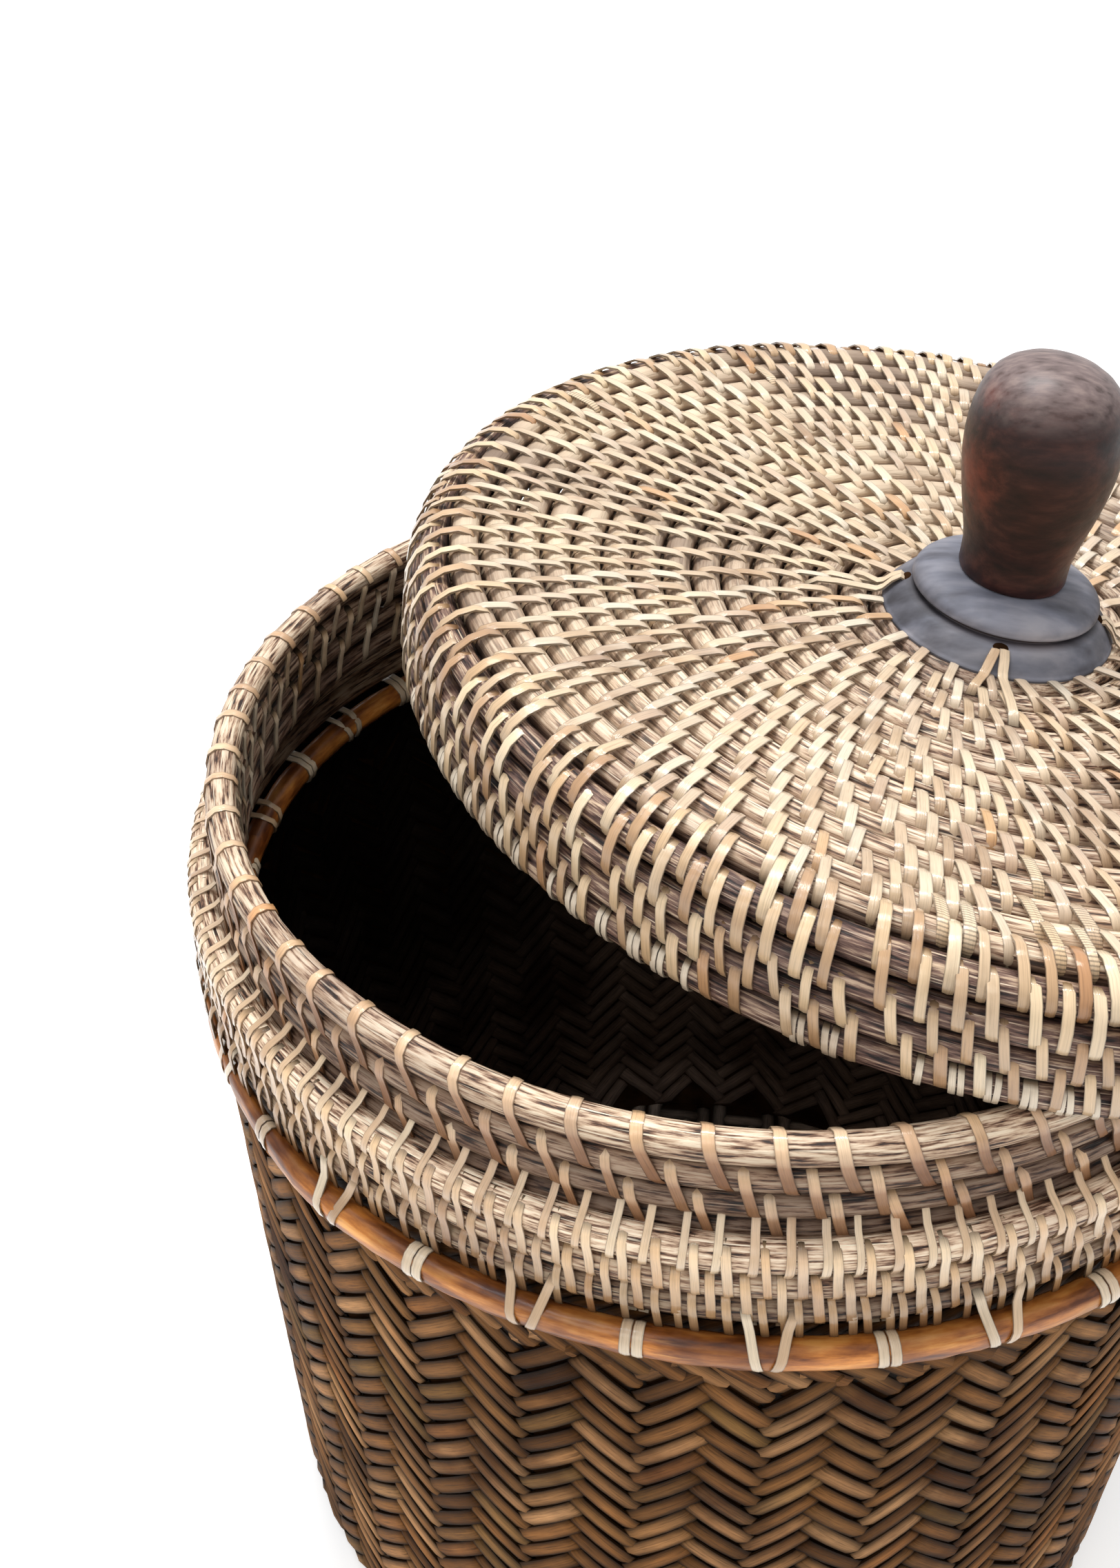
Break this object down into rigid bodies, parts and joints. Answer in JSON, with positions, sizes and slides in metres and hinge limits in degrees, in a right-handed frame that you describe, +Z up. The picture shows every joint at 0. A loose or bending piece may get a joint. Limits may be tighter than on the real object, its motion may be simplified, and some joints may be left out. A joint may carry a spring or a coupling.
{
  "type": "lidded round basket",
  "caption": "Round plaited basket with a coiled neck and a loose coiled lid carrying a turned wooden knob, for storing household things.",
  "frame": {"origin": "centre of the base's underside, where the basket stands", "axes": "+Z up along the basket's axis; the lid lies shifted towards +X and +Y and leans down towards +X; the picture looks roughly along +Y and down"},
  "size_m": [0.4027, 0.3695, 0.4066],
  "materials": {
    "stitched_rods": "dry plant rods stitched over with pale straw-coloured strips",
    "plaited_cane": "aged brown plaited strips, lightly shiny",
    "hoop_cane": "glossy orange-brown bent cane",
    "split_strip": "split strips, pale with a slight sheen",
    "knob_wood": "dark red-brown turned wood, worn greyish at the top",
    "knob_base_wood": "turned wood with a matt slate-grey surface"
  },
  "bodies": {
    "basket": {"wall_weave": "plaited_cane", "base_weave": "plaited_cane", "ledge_coil": "stitched_rods", "neck_coil": "stitched_rods", "outer_hoop": "hoop_cane", "inner_hoop": "hoop_cane", "hoop_lashing_01": "split_strip", "hoop_lashing_02": "split_strip", "hoop_lashing_03": "split_strip", "hoop_lashing_04": "split_strip", "hoop_lashing_05": "split_strip", "hoop_lashing_06": "split_strip", "hoop_lashing_07": "split_strip", "hoop_lashing_08": "split_strip", "hoop_lashing_09": "split_strip", "hoop_lashing_10": "split_strip", "hoop_lashing_11": "split_strip", "hoop_lashing_12": "split_strip", "hoop_lashing_13": "split_strip", "hoop_lashing_14": "split_strip", "hoop_lashing_15": "split_strip", "hoop_lashing_16": "split_strip", "hoop_lashing_17": "split_strip", "hoop_lashing_18": "split_strip", "hoop_lashing_19": "split_strip", "hoop_lashing_20": "split_strip", "hoop_lashing_21": "split_strip", "hoop_lashing_22": "split_strip", "hoop_lashing_23": "split_strip", "hoop_lashing_24": "split_strip", "hoop_lashing_25": "split_strip", "hoop_lashing_26": "split_strip", "hoop_lashing_27": "split_strip", "hoop_lashing_28": "split_strip", "hoop_lashing_29": "split_strip", "hoop_lashing_30": "split_strip", "hoop_lashing_31": "split_strip", "hoop_lashing_32": "split_strip", "hoop_lashing_33": "split_strip", "hoop_lashing_34": "split_strip", "hoop_lashing_35": "split_strip", "hoop_lashing_36": "split_strip"},
    "lid": {"lid_skirt_coil": "stitched_rods", "lid_top_coil": "stitched_rods", "lid_middle": "stitched_rods", "knob_base": "knob_base_wood", "knob": "knob_wood", "knob_tie_1": "split_strip", "knob_tie_2": "split_strip", "knob_tie_3": "split_strip", "knob_tie_4": "split_strip"}
  },
  "joints": [
    {"name": "lid_lift", "type": "slide", "parent": "basket", "child": "lid", "axis": [0, 0, 1], "range_m": [0, 0.3]}
  ]
}
